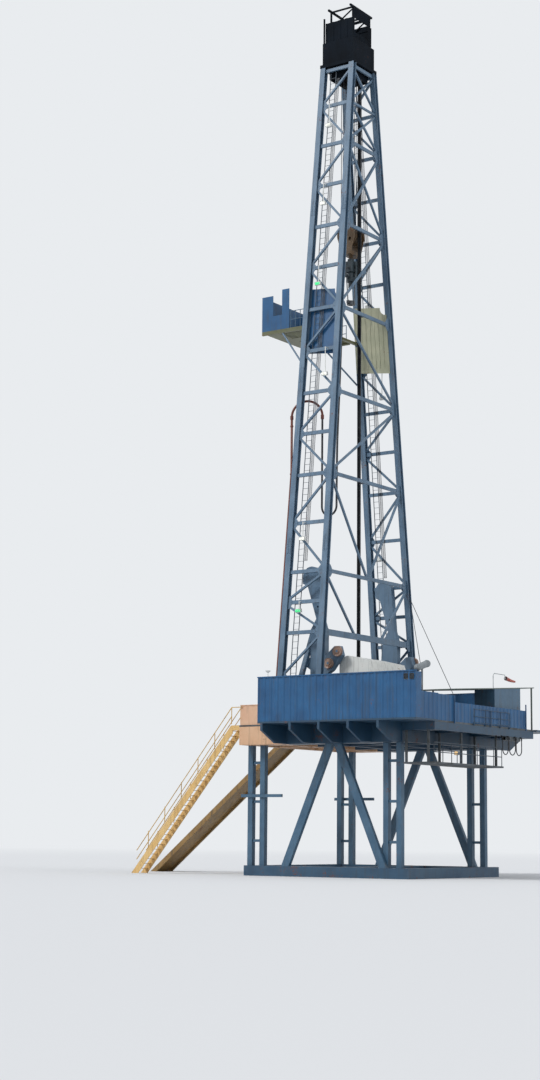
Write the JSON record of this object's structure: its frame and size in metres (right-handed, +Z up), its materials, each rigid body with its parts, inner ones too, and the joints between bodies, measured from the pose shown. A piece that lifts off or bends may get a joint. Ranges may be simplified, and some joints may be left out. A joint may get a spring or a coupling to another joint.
{
  "type": "land oil drilling rig, 1:10 scale model",
  "caption": "Land drilling rig at one tenth scale: tapering four-leg mast with racking board and crown, hoisted block and top drive, wind walls around a raised floor.",
  "frame": {"origin": "centre of the rotary table's bore at the level of the drill floor", "axes": "+Z up, -X towards the pipe ramp, +X towards the drawworks, Y across the mast"},
  "size_m": [2.485, 1.737, 5.602],
  "materials": {
    "base_skids": "weathered",
    "post_frame_near": "weathered",
    "post_frame_far": "weathered",
    "slant_legs_near": "weathered",
    "slant_legs_far": "weathered",
    "floor_beams": "weathered",
    "floor_plates": "weathered",
    "rotary_table": "weathered",
    "rear_platform": "weathered",
    "rear_platform_rails": "weathered",
    "pipe_ramp": "weathered",
    "stair_stringers": "weathered",
    "stair_treads": "weathered",
    "stair_rails": "weathered",
    "deck_brackets": "weathered",
    "side_decks": "weathered",
    "near_wind_wall": "weathered",
    "far_wind_wall": "weathered",
    "guard_panels": "weathered",
    "floor_rails": "weathered",
    "rear_fence": "weathered",
    "drawworks_cover": "weathered",
    "rear_cabin": "weathered",
    "canopy": "weathered",
    "mast_shoes": "weathered",
    "near_legs": "weathered",
    "far_legs": "weathered",
    "near_lattice": "weathered",
    "far_lattice": "weathered",
    "back_lattice": "weathered",
    "mast_wind_walls": "weathered",
    "raising_frame_near": "weathered",
    "raising_frame_far": "weathered",
    "raising_sheaves": "weathered",
    "ladders": "weathered",
    "racking_board": "weathered",
    "racking_fingers": "weathered",
    "racking_rails": "weathered",
    "racking_walls": "weathered",
    "board_struts": "weathered",
    "crown_frame": "weathered",
    "crown_walls": "weathered",
    "crown_gallows": "weathered",
    "crown_sheaves": "weathered",
    "guide_rail": "weathered",
    "travelling_block": "weathered",
    "top_drive": "weathered",
    "elevator_links": "weathered",
    "drilling_lines": "weathered",
    "standpipe": "weathered",
    "flood_lamps": "weathered",
    "tie_cables": "weathered",
    "windsock_pole": "weathered",
    "windsock": "weathered"
  },
  "bodies": {
    "structure": {"base_skids": "base_skids", "post_frame_near": "post_frame_near", "post_frame_far": "post_frame_far", "slant_legs_near": "slant_legs_near", "slant_legs_far": "slant_legs_far", "floor_beams": "floor_beams", "floor_plates": "floor_plates", "rotary_table": "rotary_table", "rear_platform": "rear_platform", "rear_platform_rails": "rear_platform_rails", "pipe_ramp": "pipe_ramp", "stair_stringers": "stair_stringers", "stair_treads": "stair_treads", "stair_rails": "stair_rails", "deck_brackets": "deck_brackets", "side_decks": "side_decks", "near_wind_wall": "near_wind_wall", "far_wind_wall": "far_wind_wall", "guard_panels": "guard_panels", "floor_rails": "floor_rails", "rear_fence": "rear_fence", "drawworks_cover": "drawworks_cover", "rear_cabin": "rear_cabin", "canopy": "canopy", "mast_shoes": "mast_shoes", "near_legs": "near_legs", "far_legs": "far_legs", "near_lattice": "near_lattice", "far_lattice": "far_lattice", "back_lattice": "back_lattice", "mast_wind_walls": "mast_wind_walls", "raising_frame_near": "raising_frame_near", "raising_frame_far": "raising_frame_far", "raising_sheaves": "raising_sheaves", "ladders": "ladders", "racking_board": "racking_board", "racking_fingers": "racking_fingers", "racking_rails": "racking_rails", "racking_walls": "racking_walls", "board_struts": "board_struts", "crown_frame": "crown_frame", "crown_walls": "crown_walls", "crown_gallows": "crown_gallows", "crown_sheaves": "crown_sheaves", "guide_rail": "guide_rail", "drilling_lines": "drilling_lines", "standpipe": "standpipe", "flood_lamps": "flood_lamps", "tie_cables": "tie_cables", "windsock_pole": "windsock_pole"},
    "hoist": {"travelling_block": "travelling_block", "top_drive": "top_drive", "elevator_links": "elevator_links"},
    "sock": {"windsock": "windsock"}
  },
  "joints": [
    {"name": "hoist_slide", "type": "slide", "parent": "structure", "child": "hoist", "axis": [0, 0, 1], "range_m": [-2.5, 0.93], "deforming": ["drilling_lines"]},
    {"name": "windsock_swivel", "type": "hinge", "parent": "structure", "child": "sock", "pos_m": [0.9, 0.355, 0.305], "axis": [0, 0, 1], "continuous": true}
  ]
}
